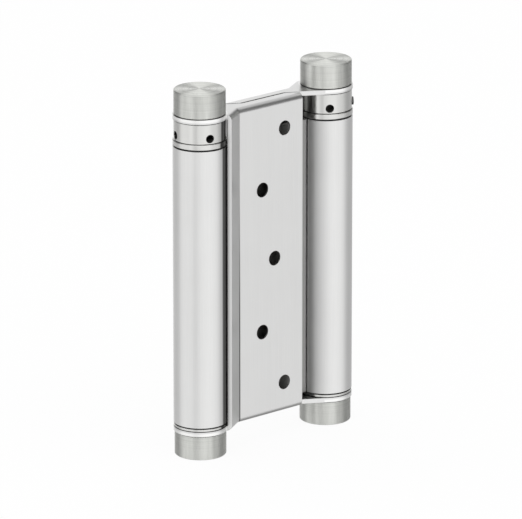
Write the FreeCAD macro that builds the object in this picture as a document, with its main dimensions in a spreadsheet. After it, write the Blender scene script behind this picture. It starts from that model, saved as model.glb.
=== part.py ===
import FreeCAD, Part
import math
import os

import Sketcher
from FreeCAD import Placement, Rotation, Vector

# Double action spring hinge: two leaves on two spring barrels, joined by a centre web.
# X runs from the left barrel to the right one, the front leaf faces -Y, and Z is up
# from the flat ends of the lower caps. Sizes are in millimetres and degrees.

driving_sizes = {
    # Barrels and centre web
    "axis_pitch": 64.0,
    "tube_radius": 10.4,
    "tube_height": 110.9,
    "web_gauge": 1.6,
    "web_bend": 1.2,
    "seam_gap": 0.4,
    # Leaves
    "leaf_gauge": 1.8,
    "leaf_face_offset": 5.4,
    "edge_clearance": 6.2,
    "leaf_bend": 0.4,
    "crease_bend": 1.0,
    "band_slope": 31.0,
    "band_gap": 0.35,
    "band_stop": 0.9,
    "flange_gap": 0.45,
    "neck_gap": 0.8,
    # Screw holes, in two columns counted from the leaf's free edge, and one between them
    "screw_radius": 2.9,
    "screw_sink": 1.2,
    "screw_margin": 9.2,
    "column_step": 11.2,
    "middle_step": 5.0,
    "outer_spread": 102.9,
    "inner_spread": 57.4,
    # Shadow lines turned where stacked pieces meet
    "relief_height": 0.3,
    "relief_depth": 0.6,
    # Spindles and caps
    "spindle_radius": 4.0,
    "spindle_fit": 0.05,
    "spindle_chamfer": 0.6,
    "thread_depth": 6.0,
    "thread_spare": 0.6,
    "cap_inset": 0.4,
    "cap_height": 9.7,
    "cap_edge": 0.25,
    "cap_crown": 0.1,
    "cap_bevel": 3.5,
    # Tension collars and their pins
    "collar_inset": 0.3,
    "collar_drum": 8.1,
    "flange_overhang": 0.05,
    "flange_height": 2.1,
    "collar_chamfer": 0.2,
    "hub_length": 8.5,
    "hub_fit": 0.08,
    "bar_hole_count": 4,
    "bar_hole_radius": 1.65,
    "bar_hole_height": 2.3,
    "bar_hole_depth": 4.2,
    "pin_fit": 0.05,
    "pin_proud": 0.6,
    "left_collar_turn": -107.0,
    "right_collar_turn": -122.4,
    # Washers
    "washer_inset": 0.1,
    "washer_height": 1.1,
    "washer_fit": 0.2,
    "thrust_inset": 0.7,
    "thrust_height": 0.45,
    "end_play": 0.1,
    # Springs and anchors
    "anchor_length": 9.0,
    "anchor_fit": 0.02,
    "wire_side": 2.2,
    "coil_turns": 9,
    "coil_gap": 0.3,
    "tail_length": 5.0,
    "tail_gap": 0.12,
    "tail_spare": 0.8,
}

doc = FreeCAD.newDocument("CafeHinge")
sheet = doc.addObject("Spreadsheet::Sheet", "Sizes")
for row, (alias, number) in enumerate(driving_sizes.items(), start=1):
    sheet.set(f"A{row}", alias)
    sheet.set(f"B{row}", str(number))
    sheet.setAlias(f"B{row}", alias)
doc.recompute()


class Size:
    """A number together with the sheet formula that gives it."""

    def __init__(self, number, formula=None):
        self.number = float(number)
        self.formula = formula or repr(float(number))

    def combined(self, other, sign, number):
        return Size(number, f"({self.formula} {sign} {as_size(other).formula})")

    def __add__(self, other):
        return self.combined(other, "+", self.number + as_size(other).number)

    def __sub__(self, other):
        return self.combined(other, "-", self.number - as_size(other).number)

    def __mul__(self, other):
        return self.combined(other, "*", self.number * as_size(other).number)

    def __truediv__(self, other):
        return self.combined(other, "/", self.number / as_size(other).number)

    def __rmul__(self, other):
        return as_size(other) * self

    def __rsub__(self, other):
        return as_size(other) - self

    def __neg__(self):
        return Size(-self.number, f"(-1 * {self.formula})")


def as_size(value):
    return value if isinstance(value, Size) else Size(value)


def size(alias):
    return Size(sheet.get(alias), f"Sizes.{alias}")


def sine(angle):
    return Size(math.sin(math.radians(angle.number)), f"sin({angle.formula})")


def cosine(angle):
    return Size(math.cos(math.radians(angle.number)), f"cos({angle.formula})")


# Sizes that follow from the driving ones

half_pitch = size("axis_pitch") / 2
tube_bore = size("tube_radius") - size("web_gauge")
spindle_bore = size("spindle_radius") + size("spindle_fit")
hub_radius = tube_bore - size("hub_fit")
coil_radius = (size("spindle_radius") + tube_bore) / 2
ear_radius = size("tube_radius")
cap_radius = size("tube_radius") - size("cap_inset")
washer_radius = size("tube_radius") - size("washer_inset")
thrust_radius = size("tube_radius") - size("thrust_inset")
flange_radius = size("tube_radius") + size("flange_overhang")
collar_radius = size("tube_radius") - size("collar_inset")
collar_height = size("flange_height") + size("collar_drum")
bar_hole_floor = collar_radius - size("bar_hole_depth")
pin_tip = collar_radius + size("pin_proud")

leaf_foot = size("cap_height")
washer_level = leaf_foot + size("leaf_gauge")
lower_thrust_level = washer_level + size("washer_height") + size("end_play")
tube_foot = lower_thrust_level + size("thrust_height")
tube_top = tube_foot + size("tube_height")
collar_level = tube_top + size("thrust_height") + size("end_play")
upper_ear_level = collar_level + collar_height
leaf_top = upper_ear_level + size("leaf_gauge")
leaf_height = leaf_top - leaf_foot
hub_foot = collar_level - size("hub_length")
coil_level = tube_foot + size("anchor_length")

band_outside = size("tube_radius") + size("band_gap") + size("leaf_gauge")
bend_outside = size("leaf_bend") + size("leaf_gauge")
plate_inside = size("leaf_face_offset") - size("leaf_gauge")
leaf_reach = size("axis_pitch") - size("tube_radius") - size("edge_clearance")
outer_column = leaf_reach - size("screw_margin")
inner_column = outer_column - size("column_step")
middle_column = outer_column - size("middle_step")
bar_hole_level = size("flange_height") + size("bar_hole_height")

trim_margin = 20.0
match_tolerance = 1e-6

start, end, centre = range(1, 4)
x_axis, y_axis = range(-1, -3, -1)
origin = (x_axis, start)


class Outline:
    """A sketch on one of its body's own planes, drawn at size and held by named dimensions."""

    def __init__(self, body, name, plane, level=None):
        self.sketch = body.newObject("Sketcher::SketchObject", name)
        support = next(f for f in body.Origin.OriginFeatures if f.Role == plane)
        self.sketch.AttachmentSupport = [(support, "")]
        self.sketch.MapMode = "FlatFace"
        if level is not None:
            self.sketch.setExpression("AttachmentOffset.Base.z", level.formula)

    def line(self, first, last):
        return self.sketch.addGeometry(Part.LineSegment(Vector(*first, 0), Vector(*last, 0)))

    def arc(self, middle, radius, first_angle, last_angle):
        circle = Part.Circle(Vector(*middle, 0), Vector(0, 0, 1), radius)
        return self.sketch.addGeometry(Part.ArcOfCircle(circle, first_angle, last_angle))

    def circle(self, middle, radius):
        return self.sketch.addGeometry(Part.Circle(Vector(*middle, 0), Vector(0, 0, 1), radius))

    def rule(self, kind, *parts):
        return self.sketch.addConstraint(Sketcher.Constraint(kind, *parts))

    def dimension(self, kind, parts, value, number=None):
        index = self.rule(kind, *parts, value.number if number is None else number)
        label = f"size{index}"
        self.sketch.renameConstraint(index, label)
        self.sketch.setExpression(f"Constraints.{label}", value.formula)

    def place(self, point, axis, value):
        kind = "DistanceX" if axis == "x" else "DistanceY"
        if value.number >= 0:
            self.dimension(kind, (*origin, *point), value)
        else:
            self.dimension(kind, (*point, *origin), -value)

    def radius(self, curve, value):
        self.dimension("Radius", (curve,), value)

    def slope(self, line, value):
        self.dimension("Angle", (line,), value, math.radians(value.number))

    def offset(self, line, value):
        self.dimension("Distance", (*origin, line), value)

    def join(self, *pairs):
        for first, last in pairs:
            self.rule("Coincident", *first, *last)

    def smooth(self, *pairs):
        for first, last in pairs:
            self.rule("Tangent", *first, *last)

    def polygon(self, corners):
        points = [(across.number, up.number) for across, up in corners]
        count = len(points)
        lines = [self.line(points[i], points[(i + 1) % count]) for i in range(count)]
        for i, (across, up) in enumerate(corners):
            self.join(((lines[i - 1], end), (lines[i], start)))
            for value, kind, axis in ((across, "x", y_axis), (up, "y", x_axis)):
                if abs(value.number) < match_tolerance:
                    self.rule("PointOnObject", lines[i], start, axis)
                else:
                    self.place((lines[i], start), kind, value)


def new_body(label):
    body = doc.addObject("PartDesign::Body", label)
    body.Label = label
    return body


def seat(piece, across, up, turn=0.0):
    piece.Placement = Placement(Vector(0, 0, 0), Rotation(Vector(0, 0, 1), turn))
    piece.setExpression("Placement.Base.x", across.formula)
    piece.setExpression("Placement.Base.z", up.formula)


def pad(body, name, outline, length):
    feature = body.newObject("PartDesign::Pad", name)
    feature.Profile = outline.sketch
    feature.setExpression("Length", length.formula)
    doc.recompute()
    return feature


def pocket(body, name, outline, length=None, backwards=False):
    before = body.Shape.Volume
    feature = body.newObject("PartDesign::Pocket", name)
    feature.Profile = outline.sketch
    feature.Reversed = backwards
    if length is None:
        feature.Type = "ThroughAll"
    else:
        feature.setExpression("Length", length.formula)
    doc.recompute()
    if body.Shape.Volume > before - match_tolerance:
        raise RuntimeError(f"{body.Label} {name} removes nothing")
    return feature


def round_edges(body, name, edges, radius, kind="PartDesign::Fillet"):
    base = body.Tip
    names = [f"Edge{i}" for i, edge in enumerate(base.Shape.Edges, start=1) if edges(edge)]
    feature = body.newObject(kind, name)
    feature.Base = (base, names)
    feature.setExpression("Radius" if kind.endswith("Fillet") else "Size", radius.formula)
    doc.recompute()
    return feature


def turned(label, corners, across, up, turn=0.0):
    body = new_body(label)
    outline = Outline(body, label + "_half_section", "XZ_Plane")
    outline.polygon(corners)
    feature = body.newObject("PartDesign::Revolution", label + "_turning")
    feature.Profile = outline.sketch
    feature.ReferenceAxis = (outline.sketch, ["V_Axis"])
    feature.Angle = 360
    seat(body, across, up, turn)
    doc.recompute()
    return body


# Centre web, one sheet rolled into a tube at each end


def rolled_end(outline, side):
    """Draws one tube in the sense of travel from the web's near face round to its far face."""
    tube, bore = size("tube_radius").number, tube_bore.number
    gauge, bend = size("web_gauge").number, size("web_bend").number
    axis = side * half_pitch.number
    rise = gauge / 2 + bend
    run = math.sqrt((tube + bend) ** 2 - rise ** 2)
    bend_middle = (axis - side * run, side * rise)
    toward_web = math.atan2(side * rise, -side * run)
    toward_tube = toward_web + math.pi
    face_up = math.atan2(-side, 0)
    lip = math.asin((gauge / 2 + size("seam_gap").number) / tube)
    lip_angle = lip if side < 0 else math.pi + lip
    inside_bend = outline.arc(bend_middle, bend, face_up, toward_tube)
    outer = outline.arc((axis, 0), tube, lip_angle, toward_web)
    lip_line = outline.line(
        (axis + tube * math.cos(lip_angle), tube * math.sin(lip_angle)),
        (axis + bore * math.cos(lip_angle), bore * math.sin(lip_angle)),
    )
    inner = outline.arc((axis, 0), bore, lip_angle, toward_web)
    outside_bend = outline.arc(bend_middle, bend + gauge, face_up, toward_tube)
    outline.smooth(((inside_bend, end), (outer, end)), ((inner, end), (outside_bend, end)))
    outline.join(((outer, start), (lip_line, start)), ((lip_line, end), (inner, start)))
    outline.join(((outer, centre), (inner, centre)), ((inside_bend, centre), (outside_bend, centre)))
    outline.rule("PointOnObject", outer, centre, x_axis)
    outline.rule("PointOnObject", outer, centre, lip_line)
    outline.place((outer, centre), "x", side * half_pitch)
    outline.place((lip_line, start), "y", -side * (size("web_gauge") / 2 + size("seam_gap")))
    outline.radius(outer, size("tube_radius"))
    outline.radius(inside_bend, size("web_bend"))
    return inside_bend, outside_bend, bend_middle[0]


def center_web():
    body = new_body("center_web")
    outline = Outline(body, "rolled_sheet", "XY_Plane")
    left_inside, left_outside, left_x = rolled_end(outline, -1)
    right_inside, right_outside, right_x = rolled_end(outline, 1)
    half_gauge = size("web_gauge") / 2
    front = outline.line((right_x, -half_gauge.number), (left_x, -half_gauge.number))
    back = outline.line((left_x, half_gauge.number), (right_x, half_gauge.number))
    outline.smooth(((right_outside, start), (front, start)), ((front, end), (left_inside, start)))
    outline.smooth(((left_outside, start), (back, start)), ((back, end), (right_inside, start)))
    for face, level in ((front, -half_gauge), (back, half_gauge)):
        outline.rule("Horizontal", face)
        outline.place((face, start), "y", level)
    pad(body, "web_and_tubes", outline, size("tube_height"))
    seat(body, as_size(0), tube_foot)
    return body


# Leaves, drawn about their own pivot with the outer face towards -Y


def bent_region(body, name, band, crease, face, level=None):
    """The region behind the leaf's slanted band and its plate, out to well past the leaf."""
    outline = Outline(body, name, "XY_Plane", level)
    slope = math.radians(size("band_slope").number)
    along = Vector(math.cos(slope), math.sin(slope), 0)
    normal = Vector(math.sin(slope), -math.cos(slope), 0)
    middle_y = -face.number - crease.number
    reach = (band.number + crease.number + math.cos(slope) * middle_y) / math.sin(slope)
    middle = Vector(reach, middle_y, 0)
    band_end = middle - normal * crease.number
    far = leaf_reach + trim_margin
    back = ear_radius + trim_margin
    lift = (-back.number - band_end.x) / along.x
    band_start = band_end + along * lift
    band_line = outline.line(band_start[:2], band_end[:2])
    bend = outline.arc(middle[:2], crease.number, math.pi / 2, math.pi / 2 + slope)
    plate = outline.line((middle.x, -face.number), (far.number, -face.number))
    side = outline.line((far.number, -face.number), (far.number, back.number))
    rear = outline.line((far.number, back.number), (-back.number, back.number))
    close = outline.line((-back.number, back.number), band_start[:2])
    outline.smooth(((band_line, end), (bend, end)), ((bend, start), (plate, start)))
    outline.join(((plate, end), (side, start)), ((side, end), (rear, start)))
    outline.join(((rear, end), (close, start)), ((close, end), (band_line, start)))
    outline.rule("Horizontal", plate)
    outline.rule("Vertical", side)
    outline.rule("Horizontal", rear)
    outline.rule("Vertical", close)
    outline.radius(bend, crease)
    outline.slope(band_line, size("band_slope"))
    outline.offset(band_line, band)
    outline.place((plate, end), "y", -face)
    outline.place((plate, end), "x", far)
    outline.place((side, end), "y", back)
    outline.place((rear, end), "x", -back)
    return outline


def leaf_outline(body):
    """Everything outside the leaf's plan: round ear, straight neck, back edge and cut corner."""
    outline = Outline(body, "plan_outline", "XY_Plane")
    slope = size("band_slope")
    radians = math.radians(slope.number)
    normal = Vector(math.sin(radians), -math.cos(radians), 0)
    along = Vector(math.cos(radians), math.sin(radians), 0)
    ear, stop = ear_radius, size("band_stop")
    reach, gap = leaf_reach, size("flange_gap")
    front = band_outside + trim_margin
    step = math.sqrt(ear.number ** 2 - stop.number ** 2)
    ear_front = normal * step + along * stop.number
    lift = (-front.number - ear_front.y) / normal.y
    side_end = ear_front + normal * lift
    ear_back = Vector(math.sin(radians), math.cos(radians), 0) * ear.number
    neck_start = (ear + gap * cosine(slope)) / sine(slope)
    cut_end = size("axis_pitch") - (ear + size("neck_gap") - gap * cosine(slope)) / sine(slope)
    cut_drop = (reach - cut_end) * sine(slope) / cosine(slope)
    cut_start = (reach.number, -gap.number - cut_drop.number)
    side = outline.line(ear_front[:2], side_end[:2])
    fore = outline.line(side_end[:2], (reach.number, -front.number))
    free = outline.line((reach.number, -front.number), cut_start)
    cut = outline.line(cut_start, (cut_end.number, -gap.number))
    edge = outline.line((cut_end.number, -gap.number), (neck_start.number, -gap.number))
    neck = outline.line((neck_start.number, -gap.number), ear_back[:2])
    round_ear = outline.arc(
        (0, 0), ear.number, math.atan2(ear_back.y, ear_back.x), math.atan2(ear_front.y, ear_front.x)
    )
    outline.join(((side, end), (fore, start)), ((fore, end), (free, start)), ((free, end), (cut, start)))
    outline.join(((cut, end), (edge, start)), ((edge, end), (neck, start)))
    outline.join(((round_ear, end), (side, start)))
    outline.rule("Coincident", round_ear, centre, *origin)
    outline.smooth(((neck, end), (round_ear, start)))
    outline.rule("Horizontal", fore)
    outline.rule("Vertical", free)
    outline.rule("Horizontal", edge)
    outline.rule("Parallel", cut, neck)
    outline.radius(round_ear, ear)
    outline.slope(side, slope - 90)
    outline.offset(side, stop)
    outline.place((side, end), "y", -front)
    outline.place((free, end), "x", reach)
    outline.place((cut, end), "x", cut_end)
    outline.place((edge, end), "y", -gap)
    outline.slope(neck, 180 - slope)
    beyond = reach + 2 * trim_margin
    outline.polygon([(-beyond, -beyond), (beyond, -beyond), (beyond, beyond), (-beyond, beyond)])
    return outline


def screw_pattern(body):
    outline = Outline(body, "screw_pattern", "XZ_Plane")
    middle = leaf_height / 2
    places = [(middle_column, middle)]
    columns = ((outer_column, size("outer_spread")), (inner_column, size("inner_spread")))
    for column, spread in columns:
        places += [(column, middle - spread / 2), (column, middle + spread / 2)]
    for across, up in places:
        hole = outline.circle((across.number, up.number), size("screw_radius").number)
        outline.radius(hole, size("screw_radius"))
        outline.place((hole, centre), "x", across)
        outline.place((hole, centre), "y", up)
    return outline


def sheet_edges(band, crease, face, levels):
    """Picks the edges where the band, crease and plate of one sheet face meet the given levels."""
    slope = math.radians(size("band_slope").number)

    def near(first, second):
        return abs(first - second) < match_tolerance

    def chosen(edge):
        heights = [vertex.Z for vertex in edge.Vertexes]
        if not any(all(near(height, level.number) for height in heights) for level in levels):
            return False
        middle = edge.valueAt((edge.FirstParameter + edge.LastParameter) / 2)
        on_plate = near(middle.y, -face.number)
        on_band = near(middle.x * math.sin(slope) - middle.y * math.cos(slope), band.number)
        on_bend = isinstance(edge.Curve, Part.Circle) and near(edge.Curve.Radius, crease.number)
        return on_plate or on_band or on_bend

    return chosen


def is_screw_mouth(edge):
    if not isinstance(edge.Curve, Part.Circle):
        return False
    on_radius = abs(edge.Curve.Radius - size("screw_radius").number) < match_tolerance
    return on_radius and abs(edge.Curve.Center.y + plate_inside.number) < match_tolerance


def leaf(label, across, turn):
    body = new_body(label)
    gauge, crease = size("leaf_gauge"), size("crease_bend")
    outside = (band_outside, crease, size("leaf_face_offset"))
    inside = (band_outside - gauge, crease + gauge, plate_inside)
    pad(body, "blank", bent_region(body, "blank_plan", *outside), leaf_height)
    round_edges(body, "outer_bend", sheet_edges(*outside, (as_size(0), leaf_height)), bend_outside)
    hollow = bent_region(body, "hollow_plan", *inside, gauge)
    pocket(body, "hollow", hollow, leaf_height - 2 * gauge, backwards=True)
    hollow_levels = (gauge, leaf_height - gauge)
    round_edges(body, "inner_bend", sheet_edges(*inside, hollow_levels), size("leaf_bend"))
    pocket(body, "plan_trim", leaf_outline(body), backwards=True)
    bore = Outline(body, "spindle_hole", "XY_Plane")
    hole = bore.circle((0, 0), spindle_bore.number)
    bore.rule("Coincident", hole, centre, *origin)
    bore.radius(hole, spindle_bore)
    pocket(body, "ear_bores", bore, backwards=True)
    pocket(body, "screw_holes", screw_pattern(body), backwards=True)
    round_edges(body, "screw_sinks", is_screw_mouth, size("screw_sink"), "PartDesign::Chamfer")
    seat(body, across, leaf_foot, turn)
    doc.recompute()
    return body


# Turned pieces of one barrel


def spindle(side, across):
    radius, chamfer = size("spindle_radius"), size("spindle_chamfer")
    length = leaf_height + 2 * size("thread_depth")
    zero = as_size(0)
    corners = [
        (zero, zero),
        (radius - chamfer, zero),
        (radius, chamfer),
        (radius, length - chamfer),
        (radius - chamfer, length),
        (zero, length),
    ]
    return turned(side + "_spindle", corners, across, leaf_foot - size("thread_depth"))


def cap_corners(foot_up):
    """Half section of a cap standing on its mouth, or hung below with its crown down."""
    edge, height = size("cap_edge"), size("cap_height")
    socket = size("thread_depth") + size("thread_spare")
    zero = as_size(0)
    section = [
        (spindle_bore, zero),
        (cap_radius - size("relief_depth"), zero),
        (cap_radius - size("relief_depth"), size("relief_height")),
        (cap_radius, size("relief_height")),
        (cap_radius, height - size("cap_crown") - edge),
        (cap_radius - edge, height - size("cap_crown")),
        (cap_radius - size("cap_bevel"), height),
        (zero, height),
        (zero, socket),
        (spindle_bore, socket),
    ]
    if foot_up:
        return [(across, height - up) for across, up in section]
    return section


def tail_hole(body, name, offset, backwards, level=None):
    """Round socket for a square spring tail, drilled at the coil's radius."""
    outline = Outline(body, name + "_tail_hole", "XY_Plane", level)
    radius = size("wire_side") / math.sqrt(2) + size("tail_gap")
    circle = outline.circle((coil_radius.number, offset.number), radius.number)
    outline.place((circle, centre), "x", coil_radius)
    outline.place((circle, centre), "y", offset)
    outline.radius(circle, radius)
    pocket(body, name + "_tail_socket", outline, size("tail_length") + size("tail_spare"), backwards)


def tension_collar(side, across, turn):
    chamfer, hub = size("collar_chamfer"), size("hub_length")
    shoulder = hub + size("flange_height")
    height = hub + collar_height
    groove, step = collar_radius - size("relief_depth"), size("relief_height")
    zero = as_size(0)
    corners = [
        (spindle_bore, zero),
        (hub_radius, zero),
        (hub_radius, hub),
        (flange_radius - chamfer, hub),
        (flange_radius, hub + chamfer),
        (flange_radius, shoulder - chamfer),
        (flange_radius - chamfer, shoulder),
        (groove, shoulder),
        (groove, shoulder + step),
        (collar_radius, shoulder + step),
        (collar_radius, height - step),
        (groove, height - step),
        (groove, height),
        (spindle_bore, height),
    ]
    body = turned(side + "_tension_collar", corners, across, hub_foot, turn.number)
    bar_hole = Outline(body, side + "_bar_hole", "YZ_Plane", bar_hole_floor)
    circle = bar_hole.circle((0, (hub + bar_hole_level).number), size("bar_hole_radius").number)
    bar_hole.rule("PointOnObject", circle, centre, y_axis)
    bar_hole.place((circle, centre), "y", hub + bar_hole_level)
    bar_hole.radius(circle, size("bar_hole_radius"))
    drilled = pocket(body, side + "_bar_drilling", bar_hole, flange_radius, backwards=True)
    ring = body.newObject("PartDesign::PolarPattern", side + "_bar_holes")
    ring.Originals = [drilled]
    ring.Axis = (next(f for f in body.Origin.OriginFeatures if f.Role == "Z_Axis"), [""])
    ring.Angle = 360
    ring.setExpression("Occurrences", size("bar_hole_count").formula)
    body.Tip = ring
    doc.recompute()
    tail_hole(body, side + "_collar", size("wire_side") / 2, backwards=True)
    return body


def tension_pin(side, across, turn, hole):
    pin = doc.addObject("Part::Cylinder", side + "_tension_pin")
    pin.Label = side + "_tension_pin"
    pin.setExpression("Radius", (size("bar_hole_radius") - size("pin_fit")).formula)
    pin.setExpression("Height", (pin_tip - bar_hole_floor).formula)
    angle = turn + as_size(hole * 360) / size("bar_hole_count")
    pin.Placement = Placement(
        Vector(0, 0, 0), Rotation(Vector(0, 0, 1), angle.number) * Rotation(Vector(0, 1, 0), 90)
    )
    pin.setExpression("Placement.Base.x", (across + bar_hole_floor * cosine(angle)).formula)
    pin.setExpression("Placement.Base.y", (bar_hole_floor * sine(angle)).formula)
    pin.setExpression("Placement.Base.z", (collar_level + bar_hole_level).formula)
    return pin


def ring_corners(inner, outer, height):
    zero = as_size(0)
    return [(inner, zero), (outer, zero), (outer, height), (inner, height)]


def stepped_ring_corners(inner, outer, height):
    """A washer with the shadow line turned round its foot."""
    step, groove = size("relief_height"), outer - size("relief_depth")
    foot = [(inner, as_size(0)), (groove, as_size(0)), (groove, step), (outer, step)]
    return foot + [(outer, height), (inner, height)]


def spring_anchor(side, across, turn):
    corners = ring_corners(spindle_bore, tube_bore - size("anchor_fit"), size("anchor_length"))
    body = turned(side + "_spring_anchor", corners, across, tube_foot, turn.number)
    tail_hole(body, side + "_anchor", -size("wire_side") / 2, False, size("anchor_length"))
    return body


def torsion_spring(side, across, turn):
    """Left-hand coil, so that opening the leaf winds it tighter, with a straight tail at each end."""
    body = new_body(side + "_torsion_spring")
    wire, radius, gap = size("wire_side"), coil_radius, size("coil_gap")
    inner, outer = radius - wire / 2, radius + wire / 2
    rise = hub_foot - coil_level - 2 * gap - wire
    section = Outline(body, side + "_wire_section", "XZ_Plane")
    section.polygon([(inner, gap), (outer, gap), (outer, gap + wire), (inner, gap + wire)])
    coil = body.newObject("PartDesign::AdditiveHelix", side + "_coil")
    coil.Profile = section.sketch
    coil.ReferenceAxis = (section.sketch, ["V_Axis"])
    coil.Mode = "height-turns-angle"
    coil.setExpression("Height", rise.formula)
    coil.setExpression("Turns", size("coil_turns").formula)
    coil.LeftHanded = True
    doc.recompute()
    tails = (("lower_tail", gap - size("tail_length"), -wire), ("upper_tail", gap + rise, as_size(0)))
    for name, level, near in tails:
        tail = Outline(body, f"{side}_{name}_section", "XY_Plane", level)
        tail.polygon([(inner, near), (outer, near), (outer, near + wire), (inner, near + wire)])
        pad(body, f"{side}_{name}", tail, size("tail_length") + wire)
    seat(body, across, coil_level, turn.number)
    doc.recompute()
    return body


def barrel(side, across, turn, pin_hole):
    pieces = [
        spindle(side, across),
        turned(side + "_top_cap", cap_corners(False), across, leaf_top),
        turned(side + "_bottom_cap", cap_corners(True), across, as_size(0)),
        tension_collar(side, across, turn),
        tension_pin(side, across, turn, pin_hole),
        spring_anchor(side, across, turn),
        torsion_spring(side, across, turn),
    ]
    spindle_room = size("spindle_radius") + size("washer_fit")
    thrust_height = size("thrust_height")
    upper_thrust = ring_corners(tube_bore, thrust_radius, thrust_height)
    lower_thrust = ring_corners(spindle_room, thrust_radius, thrust_height)
    lower_washer = stepped_ring_corners(spindle_room, washer_radius, size("washer_height"))
    pieces.append(turned(side + "_upper_thrust_washer", upper_thrust, across, tube_top))
    pieces.append(turned(side + "_lower_thrust_washer", lower_thrust, across, lower_thrust_level))
    pieces.append(turned(side + "_lower_washer", lower_washer, across, washer_level))
    return pieces


pieces = [center_web(), leaf("front_leaf", -half_pitch, 0), leaf("rear_leaf", half_pitch, 180)]
pieces += barrel("left", -half_pitch, size("left_collar_turn"), 2)
pieces += barrel("right", half_pitch, size("right_collar_turn"), 1)
doc.recompute()

for item in doc.Objects:
    if "Invalid" in item.State or "Error" in item.State:
        raise RuntimeError(f"{item.Label} did not build: {item.State}")
for piece in pieces:
    if piece.Shape.isNull() or not piece.Shape.isValid() or len(piece.Shape.Solids) != 1:
        raise RuntimeError(f"{piece.Label} is not one sound solid")

os.makedirs("parts", exist_ok=True)
for piece in pieces:
    piece.Shape.exportStep(f"parts/{piece.Label}.step")
print(f"{len(pieces)} pieces written")
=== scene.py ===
import math

import bmesh
import bpy
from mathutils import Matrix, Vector


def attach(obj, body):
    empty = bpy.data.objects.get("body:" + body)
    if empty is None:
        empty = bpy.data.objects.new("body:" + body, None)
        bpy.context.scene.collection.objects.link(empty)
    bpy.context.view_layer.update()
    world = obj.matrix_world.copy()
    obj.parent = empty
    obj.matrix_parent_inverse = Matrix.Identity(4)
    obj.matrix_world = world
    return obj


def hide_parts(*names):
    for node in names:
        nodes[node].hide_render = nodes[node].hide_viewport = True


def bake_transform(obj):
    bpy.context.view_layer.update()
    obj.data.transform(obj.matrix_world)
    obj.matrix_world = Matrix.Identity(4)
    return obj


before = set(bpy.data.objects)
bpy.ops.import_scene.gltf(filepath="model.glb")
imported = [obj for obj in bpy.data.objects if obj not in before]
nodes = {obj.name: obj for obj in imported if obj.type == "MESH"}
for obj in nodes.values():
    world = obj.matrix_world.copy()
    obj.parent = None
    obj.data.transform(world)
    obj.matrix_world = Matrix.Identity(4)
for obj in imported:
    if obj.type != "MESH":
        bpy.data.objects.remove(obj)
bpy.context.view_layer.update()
print("hinge loaded:", len(nodes), "pieces")


# shader maths: a wrapped socket that can be added, multiplied and so on
class Shade:
    def __init__(self, tree, socket=None):
        self.tree = tree
        self.socket = socket

    def make(self, kind, settings=None, links=None, out=0):
        node = self.tree.nodes.new(kind)
        for name, value in (settings or {}).items():
            setattr(node, name, value)
        for key, value in (links or {}).items():
            if isinstance(value, Shade):
                value = [value]
            if isinstance(value, list):  # sockets to link, more than one where they are joined
                for shade in value:
                    self.tree.links.new(shade.socket, node.inputs[key])
            else:
                node.inputs[key].default_value = value
        return Shade(self.tree, node.outputs[out] if node.outputs else None)

    def maths(self, operation, other=0.0, swapped=False):
        first, second = (other, self) if swapped else (self, other)
        return self.make("ShaderNodeMath", {"operation": operation}, {0: first, 1: second})

    def __add__(self, other):
        return self.maths("ADD", other)

    def __radd__(self, other):
        return self.maths("ADD", other, True)

    def __sub__(self, other):
        return self.maths("SUBTRACT", other)

    def __rsub__(self, other):
        return self.maths("SUBTRACT", other, True)

    def __mul__(self, other):
        return self.maths("MULTIPLY", other)

    def __rmul__(self, other):
        return self.maths("MULTIPLY", other, True)

    def __truediv__(self, other):
        return self.maths("DIVIDE", other)

    def __rtruediv__(self, other):
        return self.maths("DIVIDE", other, True)

    def __pow__(self, other):
        return self.maths("POWER", other)

    def __rpow__(self, other):
        return self.maths("POWER", other, True)

    def __abs__(self):
        return self.maths("ABSOLUTE")

    def above(self, limit):  # 1 where the value is greater, else 0
        return self.maths("GREATER_THAN", limit)

    def below(self, limit):
        return self.maths("LESS_THAN", limit)

    def ease(self, low, high, first=0.0, last=1.0):  # smooth step from one value to another
        links = {"Value": self, "From Min": low, "From Max": high, "To Min": first, "To Max": last}
        return self.make("ShaderNodeMapRange", {"interpolation_type": "SMOOTHSTEP"}, links)

    def tint(self, low, high):  # colour between two colours or tones, by this value
        first, second = (tone if isinstance(tone, Shade) else (*tone, 1.0) for tone in (low, high))
        return self.make("ShaderNodeMix", {"data_type": "RGBA"}, {"Factor": self, 6: first, 7: second}, 2)

    def noise(self, scale, detail):  # noise at this place, drawn out where each axis has a scale
        place = self
        if isinstance(scale, tuple):
            place = self.make("ShaderNodeMapping", None, {"Vector": self, "Scale": scale})
            scale = 1.0
        return self.make("ShaderNodeTexNoise", None, {"Vector": place, "Scale": scale, "Detail": detail})

    def split(self):  # across, depth and height
        return [self.make("ShaderNodeSeparateXYZ", None, {0: self}, out) for out in range(3)]


def startMaterial(name):
    material = bpy.data.materials.new(name)
    material.use_nodes = True
    material.node_tree.nodes.clear()
    return material, Shade(material.node_tree)


def endMaterial(pen, color, roughness, normal, fixed):
    links = {"Base Color": color, "Roughness": roughness, "Normal": normal, **fixed}
    surface = pen.make("ShaderNodeBsdfPrincipled", None, links)
    pen.make("ShaderNodeOutputMaterial", None, {"Surface": surface})


def objectPlace(pen):
    return pen.make("ShaderNodeTexCoord", out=3)


def bumpOf(pen, look, height):  # bump over an edge that is softened where the look gives one
    links = {"Strength": look["bump"], "Distance": look["depth"], "Height": height}
    if "edge" in look:
        links["Normal"] = pen.make("ShaderNodeBevel", {"samples": 4}, {"Radius": look["edge"]})
    return pen.make("ShaderNodeBump", None, links)


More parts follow.
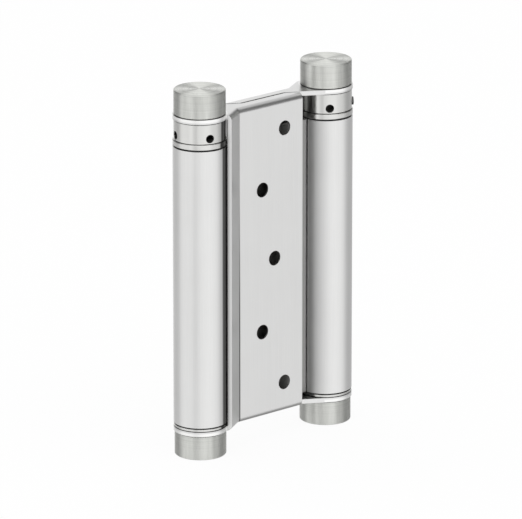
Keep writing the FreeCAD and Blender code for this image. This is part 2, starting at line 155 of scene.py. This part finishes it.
# satin rolled sheet: fine brushing along the height, faint clouding from the polish
satinLook = {
    "dark": (0.57, 0.57, 0.566),
    "light": (0.75, 0.75, 0.745),
    "brushScale": (5200.0, 5200.0, 45.0),
    "brushDetail": 3.0,
    "brushShare": 0.5,
    "drawScale": (380.0, 380.0, 5.0),  # broad streaks from rolling and drawing
    "drawDetail": 1.0,
    "drawShare": 0.14,
    "cloudScale": 70.0,
    "cloudDetail": 2.0,
    "cloudShare": 0.36,
    "roughness": 0.31,
    "brushRough": 0.08,
    "cloudRough": 0.06,
    "dullRough": 0.30,
    "edge": 0.0002,
    "bump": 0.10,
    "depth": 0.00002,
}
sheetTones = {
    "inside": (0.38, 0.38, 0.372),  # mill finish where no polish reaches, darkened further as painted shade behind the plates and bands
    "bandShade": (0.05, 0.05, 0.048),  # painted shade on the tubes in the gap under the bands
    "rim": (0.82, 0.82, 0.81),  # painted highlight on the edges of the ears
    "crease": (0.04, 0.04, 0.039),  # painted shade in the crease, most of it near the foot
}
halfPitch = 0.032
midHeight = 0.07315
bandSlope = math.radians(31.0)
bandEnd = 0.0060  # how far along the leaf the painted shade under a band reaches
earRim = {"radius": (0.0102, 0.0106), "reach": 0.0623}  # reach is the height from the middle
leafInside = {  # behind the plate, the slanted band and the flanges
    "plate": 0.00362,
    "band": 0.0110,
    "foot": 0.0116,
    "top": 0.1347,
    "dull": 0.3,
}
leafCrease = {  # painted shade in the crease: place along the leaf, half widths, depth of the outer face, and heights of the fade
    "along": 0.01532,
    "line": (0.00020, 0.00046),
    "outer": 0.0048,
    "fade": (0.045, 0.110),
}
webInside = {  # the web behind the leaves, and the strip of painted shade on each tube under a leaf's band
    "web": (0.0200, 0.0215),
    "strip": (0.0099, 0.01022),
    "dullRise": (0.0190, 0.0213),  # no polishing wheel reaches the roots of the tubes
    "dullFall": (0.0222, 0.0278),
    "dullWeb": 0.2,
}


def axisRadius(across, depth):  # distance from the nearer barrel's axis
    fromAxis = abs(across) - halfPitch
    return (fromAxis * fromAxis + depth * depth) ** 0.5


def towardBand(across, depth):  # along the leaf from its own pivot, and out towards its slanted band
    along = halfPitch - across * depth.maths("SIGN")
    return along, along * math.sin(bandSlope) + abs(depth) * math.cos(bandSlope)


def underBand(across, depth, limits):  # painted shade in the gap beside a leaf's band
    along, out = towardBand(across, depth)
    return out.ease(*limits) * along.below(bandEnd)


# the band on the ears' edges that takes the painted highlight
def rimZone(across, depth, height):
    radius = axisRadius(across, depth)
    nearest, farthest = earRim["radius"]
    return radius.above(nearest) * radius.below(farthest) * abs(height - midHeight).above(earRim["reach"])


def leafZones(across, depth, height):  # zones with a tone of their own, and how dull each place is
    along, out = towardBand(across, depth)
    within = abs(depth).below(leafInside["plate"]).maths("MAXIMUM", out.below(leafInside["band"]))
    inside = within * height.above(leafInside["foot"]) * height.below(leafInside["top"])
    line = 1.0 - abs(along - leafCrease["along"]).ease(*leafCrease["line"])
    outerLine = line * abs(depth).above(leafCrease["outer"])
    # painted shade along the crease, fading out up the leaf
    crease = outerLine * (1.0 - height.ease(*leafCrease["fade"]))
    zones = {"inside": inside, "rim": rimZone(across, depth, height), "crease": crease}
    return zones, inside * leafInside["dull"]


def webZones(across, depth, height):  # the same at every height
    fromMiddle = abs(across)
    inside = 1.0 - fromMiddle.ease(*webInside["web"])
    # the strip of each tube under a leaf's band takes painted shade
    zones = {"inside": inside, "bandShade": underBand(across, depth, webInside["strip"])}
    rise = fromMiddle.ease(*webInside["dullRise"], webInside["dullWeb"], 1.0)
    return zones, rise * (1.0 - fromMiddle.ease(*webInside["dullFall"]))


def makeSatinSheet(name, findZones):
    material, pen = startMaterial(name)
    look = satinLook
    place = objectPlace(pen)
    brush = place.noise(look["brushScale"], look["brushDetail"])
    draw = place.noise(look["drawScale"], look["drawDetail"])
    cloud = place.noise(look["cloudScale"], look["cloudDetail"])
    tone = brush * look["brushShare"] + draw * look["drawShare"] + cloud * look["cloudShare"]
    color = tone.tint(look["dark"], look["light"])
    zones, dull = findZones(*place.split())
    for zone, mask in zones.items():
        color = mask.tint(color, sheetTones[zone])
    polish = look["roughness"] + (brush - 0.5) * look["brushRough"] + (cloud - 0.5) * look["cloudRough"]
    roughness = polish + dull * look["dullRough"]
    endMaterial(pen, color, roughness, bumpOf(pen, look, brush), {"Metallic": 1.0})
    return material


# turned steel: lines run round each barrel's axis, on the sides and on the ends
turnedLooks = {
    "mattCap": {
        "dark": (0.40, 0.41, 0.385),
        "light": (0.97, 0.975, 0.94),
        "roughness": 0.43,
        "lineRough": 0.16,
        "lines": 5200.0,
        "bands": 1500.0,
        "streaks": (650.0, 650.0, 60.0),
        "bump": 0.35,
        "depth": 0.00003,
        "edge": 0.0002,
        "boreRadius": 0.00985,
        "boreReach": (0.06344, 0.06376),  # shadow lines at the caps' feet, from the middle height
        "grain": 0.94,  # stretch of the shine across the turning lines
    },
    "brightCollar": {
        "dark": (0.62, 0.62, 0.605),
        "light": (0.72, 0.72, 0.705),
        "roughness": 0.29,
        "lineRough": 0.07,
        "lines": 6500.0,
        "bands": 2200.0,
        "streaks": (500.0, 500.0, 60.0),
        "bump": 0.12,
        "depth": 0.00002,
        "edge": 0.00015,
        "boreRadius": 0.0098,
        "boreReach": (0.0, 0.08),
        "grain": 0.93,
        "shadeUnderBand": (0.0095, 0.0098),  # painted shade under the leaf's band
    },
    "darkPin": {
        "dark": (0.07, 0.07, 0.07),
        "light": (0.12, 0.12, 0.118),
        "roughness": 0.34,
        "lineRough": 0.10,
        "lines": 6500.0,
        "bands": 2200.0,
        "streaks": (500.0, 500.0, 60.0),
        "bump": 0.15,
        "depth": 0.00002,
        "edge": 0.00015,
        "boreRadius": 0.0,
        "boreReach": (0.0, 0.08),
        "grain": 0.0,
    },
}
turnedShares = {"lines": 0.3, "bands": 0.25, "streaks": 0.45}  # ends: bands take the streaks' share
turnedDetail = {"rings": 3.0, "streaks": 2.0}
endFacing = 0.7  # a face that looks this much up or down is an end
paintedBoreShade = {"tone": (0.05, 0.05, 0.048), "rough": 0.3}  # painted shade in the bar holes and shadow lines
grainTurn = 0.25


def makeTurned(name):
    look = turnedLooks[name]
    material, pen = startMaterial(name)
    place = objectPlace(pen)
    across, depth, height = place.split()
    radius = axisRadius(across, depth)
    turning = radius + height  # steps along the tool's path, on sides and ends alike

    def ringNoise(scale):
        links = {"W": turning * scale, "Scale": 1.0, "Detail": turnedDetail["rings"]}
        return pen.make("ShaderNodeTexNoise", {"noise_dimensions": "1D"}, links)

    lines = ringNoise(look["lines"])
    bands = ringNoise(look["bands"])
    streaks = place.noise(look["streaks"], turnedDetail["streaks"])
    facing = pen.make("ShaderNodeNewGeometry", out=1).split()[2]
    moved = abs(facing).above(endFacing) * turnedShares["streaks"]
    tone = lines * turnedShares["lines"] + bands * (turnedShares["bands"] + moved)
    tone = tone + streaks * (turnedShares["streaks"] - moved)
    fromMiddle = abs(height - midHeight)
    nearest, farthest = look["boreReach"]
    bore = radius.below(look["boreRadius"]) * fromMiddle.above(nearest) * fromMiddle.below(farthest)
    # painted shade in the bores and shadow lines, and under the leaf's band
    paintedShade = bore
    if "shadeUnderBand" in look:
        paintedShade = bore.maths("MAXIMUM", underBand(across, depth, look["shadeUnderBand"]))
    color = paintedShade.tint(tone.tint(look["dark"], look["light"]), paintedBoreShade["tone"])
    roughness = look["roughness"] + (lines - 0.5) * look["lineRough"] + bore * paintedBoreShade["rough"]
    shine = {"Metallic": 1.0, "Anisotropic": look["grain"], "Anisotropic Rotation": grainTurn}
    endMaterial(pen, color, roughness, bumpOf(pen, look, lines), shine)
    return material


# grained finishes: oil-blued spring wire, and the dark nylon of the thrust washers
grainedLooks = {
    "springWire": {
        "dark": (0.22, 0.22, 0.23),
        "light": (0.36, 0.36, 0.37),
        "grain": 900.0,
        "detail": 4.0,
        "roughness": 0.38,
        "grainRough": 0.2,
        "bump": 0.15,
        "depth": 0.00002,
        "fixed": {"Metallic": 1.0},
    },
    "darkNylon": {
        "dark": (0.008, 0.008, 0.009),
        "light": (0.018, 0.018, 0.019),
        "grain": 2500.0,
        "detail": 3.0,
        "roughness": 0.55,
        "grainRough": 0.15,
        "bump": 0.2,
        "depth": 0.00002,
        "fixed": {"Specular IOR Level": 0.15},
    },
}


def makeGrained(name):
    look = grainedLooks[name]
    material, pen = startMaterial(name)
    grain = objectPlace(pen).noise(look["grain"], look["detail"])
    roughness = look["roughness"] + (grain - 0.5) * look["grainRough"]
    color = grain.tint(look["dark"], look["light"])
    endMaterial(pen, color, roughness, bumpOf(pen, look, grain), look["fixed"])
    return material


satinLeaf = makeSatinSheet("satinLeaf", leafZones)
satinWeb = makeSatinSheet("satinWeb", webZones)
mattCap = makeTurned("mattCap")
brightCollar = makeTurned("brightCollar")
darkPin = makeTurned("darkPin")
springWire = makeGrained("springWire")
darkNylon = makeGrained("darkNylon")

finishOf = {  # by the ending of a piece's name
    "leaf": satinLeaf,
    "web": satinWeb,
    "cap": mattCap,
    "spindle": mattCap,
    "anchor": mattCap,
    "collar": brightCollar,
    "pin": darkPin,
    "lower_washer": brightCollar,
    "spring": springWire,
    "thrust_washer": darkNylon,
}
for name, piece in nodes.items():
    finish = next(look for ending, look in finishOf.items() if name.endswith(ending))
    piece.data.materials.clear()
    piece.data.materials.append(finish)
print("finishes set")


# closing springs: merged copies of the CAD springs replace them; the foot sits in the web's plug and the
# head in the leaf's collar
springTravel = {"foot": 0.0226, "head": 0.1135, "merge": 1e-7}


def addWindingSpring(name, node):
    mesh = nodes[node].data.copy()
    mesh.name = name
    shape = bmesh.new()
    shape.from_mesh(mesh)
    bmesh.ops.remove_doubles(shape, verts=shape.verts, dist=springTravel["merge"])
    shape.to_mesh(mesh)
    shape.free()
    spring = bpy.data.objects.new(name, mesh)
    bpy.context.collection.objects.link(spring)
    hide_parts(node)
    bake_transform(spring)
    print(name, len(mesh.polygons), "faces")


addWindingSpring("leftWindingSpring", "left_torsion_spring")
addWindingSpring("rightWindingSpring", "right_torsion_spring")


# turning marks round the caps, a little proud of the side and of the bevelled crown
markSizes = {
    "Side Radius": 0.01000,
    "Side Count": 15,
    "Side Pitch": 0.00058,
    "Side Start": 0.00075,
    "Crown Count": 6,
    "Crown Radius": 0.0075,
    "Crown Pitch": 0.00038,
    "Crown Fall": -0.03,  # share of the pitch that each ring on the crown drops
    "Line": 0.000022,
    "Line Corners": 3,
    "Ring Corners": 72,
}
capLevels = {"Lower": 0.0, "Upper": 0.1366, "Crown": 0.14626}


def makeMarkTree():
    tree = bpy.data.node_groups.new("turningMarks", "GeometryNodeTree")
    face = tree.interface
    face.new_socket("Geometry", in_out="OUTPUT", socket_type="NodeSocketGeometry")
    kinds = {name: "Float" for name in ("Across", *capLevels, *markSizes)}
    kinds.update({name: "Int" for name in markSizes if name.endswith(("Count", "Corners"))})
    kinds["Finish"] = "Material"
    for name, kind in kinds.items():
        face.new_socket(name, in_out="INPUT", socket_type="NodeSocket" + kind)
    pen = Shade(tree)
    given = {name: pen.make("NodeGroupInput", out=name) for name in kinds}

    def point(x, y, z):
        return pen.make("ShaderNodeCombineXYZ", None, {0: x, 1: y, 2: z})

    def circle(corners, radius):
        sizes = {"Resolution": given[corners], "Radius": given[radius]}
        return pen.make("GeometryNodeCurvePrimitiveCircle", None, sizes)

    def row(count, first, step):
        sizes = {"Count": given[count], "Start Location": first, "Offset": step}
        return pen.make("GeometryNodeMeshLine", None, sizes)

    outlines = {0: circle("Ring Corners", "Side Radius"), 1: circle("Line Corners", "Line")}
    ring = pen.make("GeometryNodeCurveToMesh", None, outlines)

    def sideRings(level):
        first = point(given["Across"], 0.0, given[level] + given["Side Start"])
        places = row("Side Count", first, point(0.0, 0.0, given["Side Pitch"]))
        return pen.make("GeometryNodeInstanceOnPoints", None, {"Points": places, "Instance": ring})

    def crownRings():
        first = point(given["Across"], 0.0, given["Crown"])
        places = row("Crown Count", first, point(0.0, 0.0, given["Crown Pitch"] * given["Crown Fall"]))
        turn = pen.make("GeometryNodeInputIndex")
        share = (given["Crown Radius"] + turn * given["Crown Pitch"]) / given["Side Radius"]
        links = {"Points": places, "Instance": ring, "Scale": point(share, share, 1.0)}
        return pen.make("GeometryNodeInstanceOnPoints", None, links)

    rings = [sideRings("Lower"), sideRings("Upper"), crownRings()]
    joined = pen.make("GeometryNodeJoinGeometry", None, {0: rings})
    real = pen.make("GeometryNodeRealizeInstances", None, {0: joined})
    smooth = pen.make("GeometryNodeSetShadeSmooth", None, {0: real})
    done = pen.make("GeometryNodeSetMaterial", None, {0: smooth, "Material": given["Finish"]})
    pen.make("NodeGroupOutput", None, {0: done})
    return tree


def addTurningMarks(name, across, body):
    maker = bpy.data.objects.new(name + "Maker", bpy.data.meshes.new(name + "Maker"))
    bpy.context.collection.objects.link(maker)
    modifier = maker.modifiers.new("turningMarks", "NODES")
    modifier.node_group = markTree
    values = {"Across": across, "Finish": mattCap, **capLevels, **markSizes}
    for item in markTree.interface.items_tree:
        if item.in_out == "INPUT":
            modifier[item.identifier] = values[item.name]
    bpy.context.view_layer.update()
    mesh = bpy.data.meshes.new_from_object(maker.evaluated_get(bpy.context.evaluated_depsgraph_get()))
    mesh.name = name
    bpy.data.objects.remove(maker)
    marks = bpy.data.objects.new(name, mesh)
    bpy.context.collection.objects.link(marks)
    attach(marks, body)
    print(name, len(mesh.polygons), "faces")


markTree = makeMarkTree()
addTurningMarks("leftCapMarks", -halfPitch, "front_leaf_set")
addTurningMarks("rightCapMarks", halfPitch, "rear_leaf_set")


# floor and studio: a bright table, a bright room and dark cards that draw the edges
floorLook = {"size": 6.0, "tone": 0.92, "shadowShare": 0.08}
studio = {
    "ambient": 1.0,
    "table": 1.17,
    "room": 1.05,
    "under": 0.6,  # what is left of the table's light straight below
    "tableRise": (-0.80, -0.36),  # heights of a direction, from -1 below to 1 overhead
    "horizon": (-0.16, 0.0),
    "clear": (0.60, 0.88),  # nothing dark hangs overhead
}
darkCards = [  # heading in degrees, half widths of core and fade, cut on the table and in the room
    {"heading": 94.0, "core": 14.0, "fade": 56.0, "table": 0.46, "room": 0.0},
    {"heading": 66.0, "core": 32.0, "fade": 66.0, "table": 0.0, "room": 0.90},
    {"heading": -165.0, "core": 14.0, "fade": 40.0, "table": 0.36, "room": 0.90},
    {"heading": -61.0, "core": 3.0, "fade": 13.0, "table": 0.14, "room": 0.45},
    {"heading": -2.0, "core": 6.0, "fade": 46.0, "table": -0.10, "room": -0.16},
]
white = (1.0, 1.0, 1.0, 1.0)


def rayKinds(pen):  # seen by the camera, and mirrored in metal
    return pen.make("ShaderNodeLightPath", out=0), pen.make("ShaderNodeLightPath", out=3)


def makeFloor():
    half = floorLook["size"] / 2
    corners = [(-half, -half, 0), (half, -half, 0), (half, half, 0), (-half, half, 0)]
    mesh = bpy.data.meshes.new("studioFloor")
    mesh.from_pydata(corners, [], [(0, 1, 2, 3)])
    floor = bpy.data.objects.new("studioFloor", mesh)
    bpy.context.collection.objects.link(floor)
    material, pen = startMaterial("paleFloor")
    tone = floorLook["tone"]
    lit = pen.make("ShaderNodeBsdfDiffuse", None, {"Color": (tone, tone, tone, 1.0)})
    glow = pen.make("ShaderNodeEmission", None, {"Color": white, "Strength": 1.0})
    seen, mirrored = rayKinds(pen)
    share = seen.maths("MAXIMUM", mirrored) * (1.0 - floorLook["shadowShare"])
    surface = pen.make("ShaderNodeMixShader", None, {0: share, 1: lit, 2: glow})
    pen.make("ShaderNodeOutputMaterial", None, {"Surface": surface})
    mesh.materials.append(material)
    floor.visible_glossy = False


def makeWorld():
    world = bpy.data.worlds.new("studioWorld")
    bpy.context.scene.world = world
    world.use_nodes = True
    world.node_tree.nodes.clear()
    pen = Shade(world.node_tree)

    def vector(operation, links, out=0):
        return pen.make("ShaderNodeVectorMath", {"operation": operation}, links, out)

    direction = pen.make("ShaderNodeTexCoord", out=0)
    height = direction.split()[2]
    level = vector("MULTIPLY", {0: direction, 1: (1.0, 1.0, 0.0)})
    heading = vector("NORMALIZE", {0: level})
    table, room = 1.0, 1.0
    for card in darkCards:
        angle = math.radians(card["heading"])
        toward = (math.sin(angle), -math.cos(angle), 0.0)
        facing = vector("DOT_PRODUCT", {0: heading, 1: toward}, 1)
        outer, inner = (math.cos(math.radians(card[width])) for width in ("fade", "core"))
        shade = facing.ease(outer, inner)
        table = (1.0 - shade * card["table"]) * table
        room = (1.0 - shade * card["room"]) * room
    table = table * height.ease(*studio["tableRise"], studio["under"], studio["table"])
    clear = height.ease(*studio["clear"])
    room = (room * (1.0 - clear) + clear) * studio["room"]
    lifted = height.ease(*studio["horizon"])
    sweep = table * (1.0 - lifted) + room * lifted
    seen, mirrored = rayKinds(pen)
    tone = mirrored * sweep + (1.0 - mirrored) * studio["ambient"]
    tone = seen + (1.0 - seen) * tone
    background = pen.make("ShaderNodeBackground", None, {"Color": white, "Strength": tone})
    pen.make("ShaderNodeOutputWorld", None, {"Surface": background})


lampAim = (0.0, 0.0, 0.07)
lamps = {
    "topSoftbox": {"place": (-0.15, -0.25, 0.75), "size": (0.7, 0.5), "power": 0.3},
    "leftSoftbox": {"place": (-0.75, -0.25, 0.30), "size": (0.35, 0.8), "power": 0.2},
    "rightSoftbox": {"place": (0.45, -0.75, 0.25), "size": (0.4, 0.8), "power": 0.15},
}


def addLamp(name, place, size, power):
    lamp = bpy.data.lights.new(name, "AREA")
    lamp.shape = "RECTANGLE"
    lamp.size, lamp.size_y = size
    lamp.energy = power
    holder = bpy.data.objects.new(name, lamp)
    holder.location = place
    holder.rotation_euler = (Vector(lampAim) - Vector(place)).to_track_quat("-Z", "Y").to_euler()
    holder.visible_camera = False
    bpy.context.collection.objects.link(holder)


makeFloor()
makeWorld()
for name, lamp in lamps.items():
    addLamp(name, **lamp)
print("studio set")


# camera at the photo's viewing angle
view = {
    "azimuth": -40.8,
    "elevation": 17.54,
    "distance": 2.648,
    "lens": 472.7,
    "sensor": 36.0,
    "farthest": 20.0,
    "aim": (-0.00064, 0.00056, 0.07154),
}


def addCamera():
    azimuth = math.radians(view["azimuth"])
    elevation = math.radians(view["elevation"])
    level = math.cos(elevation)
    toCamera = Vector((math.sin(azimuth) * level, -math.cos(azimuth) * level, math.sin(elevation)))
    camera = bpy.data.objects.new("photoCamera", bpy.data.cameras.new("photoCamera"))
    camera.data.lens = view["lens"]
    camera.data.sensor_width = view["sensor"]
    camera.data.clip_end = view["farthest"]
    camera.location = Vector(view["aim"]) + toCamera * view["distance"]
    camera.rotation_euler = (-toCamera).to_track_quat("-Z", "Y").to_euler()
    bpy.context.collection.objects.link(camera)
    bpy.context.scene.camera = camera


addCamera()
bpy.context.scene.view_settings.view_transform = "Standard"
print("camera set")
